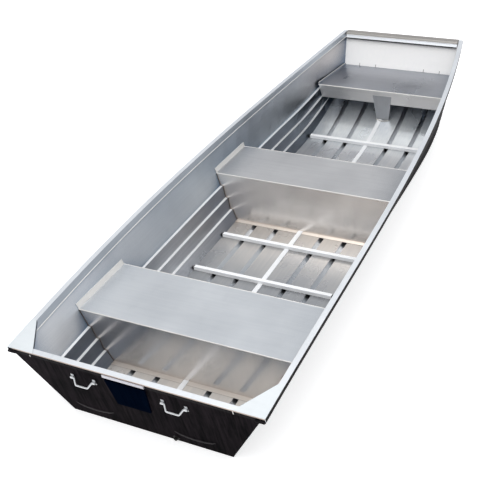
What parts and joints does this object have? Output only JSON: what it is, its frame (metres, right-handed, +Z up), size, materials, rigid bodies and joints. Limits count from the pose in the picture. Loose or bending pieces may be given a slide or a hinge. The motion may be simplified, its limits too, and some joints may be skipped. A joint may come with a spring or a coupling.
{
  "type": "jon boat",
  "caption": "Open flat-bottomed sheet-aluminium boat with raked transom, square bow, flared stepped sides, bench seats, bow deck, floor bars and lifting handles.",
  "frame": {"origin": "bottom centre of the whole boat's box, on the ground under the bottom ribs", "axes": "+X forward to the bow, +Y to port, +Z up"},
  "size_m": [3.6709, 1.348, 0.5164],
  "materials": {
    "hull_sheet": "mill finish with rolling streaks",
    "transom_sheet": "dark glossy sheet",
    "rail": "satin extrusion",
    "floor_bar": "bright satin",
    "bench_top": "satin mill finish",
    "bench_panel": "glossy mill finish",
    "bow_deck": "brushed",
    "motor_pad": "dark navy, satin",
    "plug": "dark, satin",
    "handle": "satin rod and clips"
  },
  "bodies": {
    "root": {"hull_bottom": "hull_sheet", "hull_side_port": "hull_sheet", "hull_side_starboard": "hull_sheet", "bow_panel": "hull_sheet", "transom_panel": "transom_sheet", "gunwale_port": "rail", "gunwale_starboard": "rail", "transom_cap": "rail", "bow_cap": "rail", "gusset_port": "rail", "gusset_starboard": "rail", "keelson": "floor_bar", "floor_bar_aft": "floor_bar", "floor_bar_mid": "floor_bar", "floor_bar_fore": "floor_bar", "rear_bench_top": "bench_top", "mid_bench_top": "bench_top", "rear_bench_aft_panel": "bench_panel", "rear_bench_fore_panel": "bench_panel", "mid_bench_aft_panel": "bench_panel", "mid_bench_fore_panel": "bench_panel", "bow_deck": "bow_deck", "bow_deck_fascia": "bow_deck", "bow_deck_flange": "bow_deck", "bow_deck_bracket": "bow_deck", "motor_pad": "motor_pad", "drain_plug": "plug", "handle_port": "handle", "handle_starboard": "handle", "handle_bow": "handle", "handle_clips_port": "handle", "handle_clips_starboard": "handle", "handle_clips_bow": "handle"}
  },
  "joints": []
}
